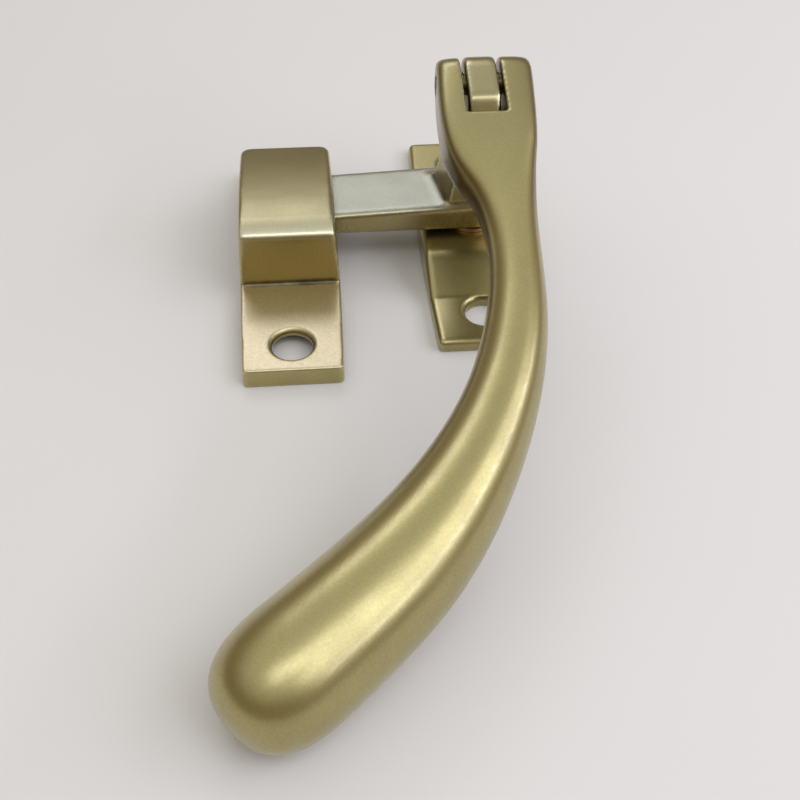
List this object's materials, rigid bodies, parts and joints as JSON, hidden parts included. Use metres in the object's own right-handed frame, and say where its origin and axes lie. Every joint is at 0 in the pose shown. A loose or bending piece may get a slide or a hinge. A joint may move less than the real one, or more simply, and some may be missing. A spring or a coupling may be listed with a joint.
{
  "type": "casement window fastener",
  "caption": "Bulb-ended lever on a hinged knuckle turns a flat tongue into a hooked keeper; screw-on base plate on the sash.",
  "frame": {"origin": "where the pivot axis meets the mounting plane, at the middle of the base plate's back face", "axes": "+Y along the base plate towards the handle's hinge, +Z out of the window along the pivot, +X away from the keeper"},
  "size_m": [0.0511, 0.1251, 0.0347],
  "materials": {
    "satin_brass": "satin brushed and lacquered",
    "satin_brass_arm": "satin, slightly brighter than the handle",
    "bronze": "plain stamped phosphor bronze",
    "zinc_steel": "zinc plated"
  },
  "bodies": {
    "window": {"keeper": "satin_brass", "base_plate": "satin_brass", "friction_washer": "bronze"},
    "arm": {"latch_arm": "satin_brass_arm", "retaining_washer": "zinc_steel", "spring_washer": "zinc_steel", "pivot_screw": "zinc_steel"},
    "handle": {"handle": "satin_brass", "hinge_pin": "satin_brass"}
  },
  "joints": [
    {"name": "arm_turn", "type": "hinge", "parent": "window", "child": "arm", "pos_m": [0, 0, 0], "axis": [0, 0, 1], "range_deg": [-95, 6]},
    {"name": "handle_fold", "type": "hinge", "parent": "arm", "child": "handle", "pos_m": [0, 0.001, 0.0305], "axis": [-1, 0, 0], "range_deg": [0, 105]}
  ]
}
